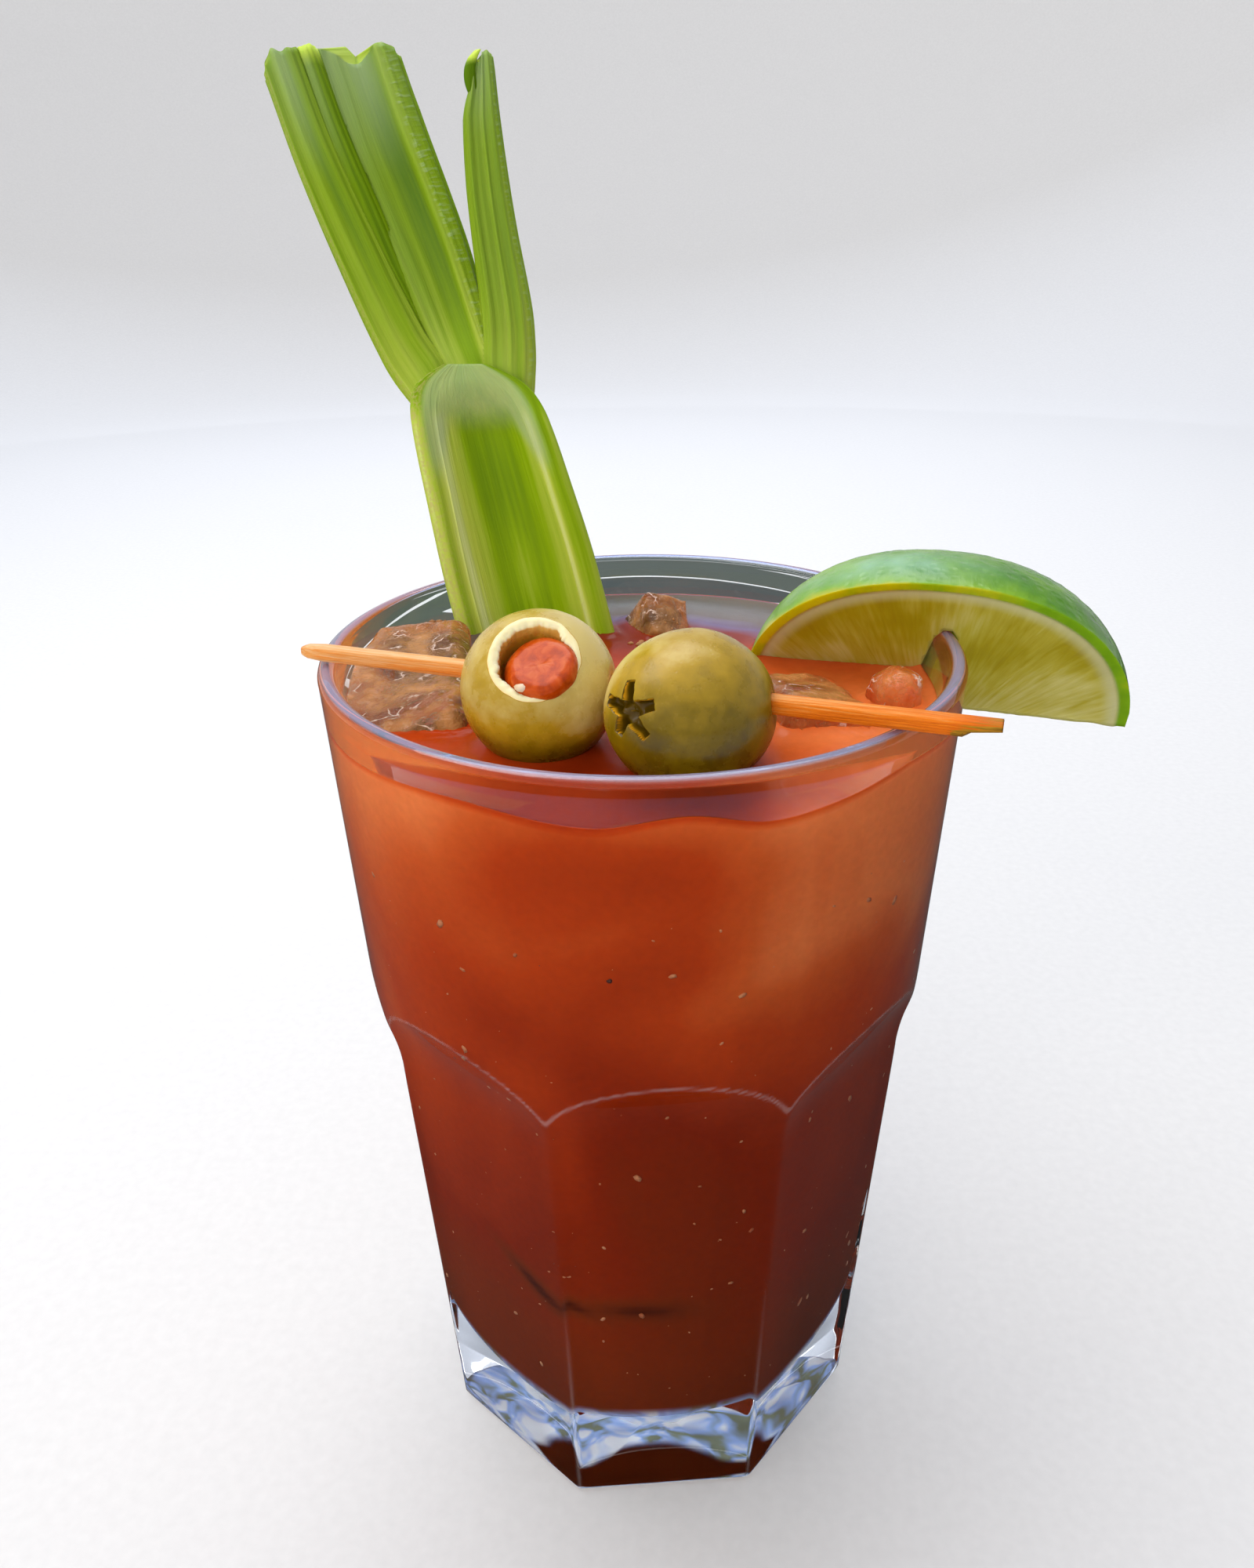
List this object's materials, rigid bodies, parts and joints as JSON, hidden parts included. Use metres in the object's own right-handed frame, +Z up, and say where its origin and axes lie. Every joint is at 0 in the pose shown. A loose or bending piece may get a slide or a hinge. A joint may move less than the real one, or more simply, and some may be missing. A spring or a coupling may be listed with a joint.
{
  "type": "bloody mary",
  "caption": "Tomato cocktail in a faceted tumbler with ice, a leaning celery stalk, olives on a wooden pick and a lime wedge slit over the rim",
  "frame": {"origin": "the middle of the glass's underside, on the surface it stands on", "axes": "+Z is up out of the glass, -Y is the front of the picture, +X is to its right; the celery leans to -X and +Y and the lime wedge sits at +X"},
  "size_m": [0.1193, 0.0934, 0.1993],
  "materials": {
    "clear_glass": "clear, smooth pressed glass",
    "tomato_drink": "cloudy liquid, wet gloss",
    "celery_green": "fresh ribbed stalk, satin",
    "olive_green": "pickled skin, wet satin",
    "pimento_red": "soft pepper, wet",
    "stained_wood": "orange-stained split wood, matte",
    "lime_green": "pored peel and wet flesh",
    "ice_clear": "melting ice, tinted by the drink"
  },
  "bodies": {
    "root": {"glass": "clear_glass", "drink": "tomato_drink", "celery": "celery_green", "ice_1": "ice_clear", "ice_2": "ice_clear", "ice_3": "ice_clear", "ice_4": "ice_clear", "lime_wedge": "lime_green", "olive_1": "olive_green", "olive_2": "olive_green", "pimento": "pimento_red", "pick": "stained_wood"}
  },
  "joints": []
}
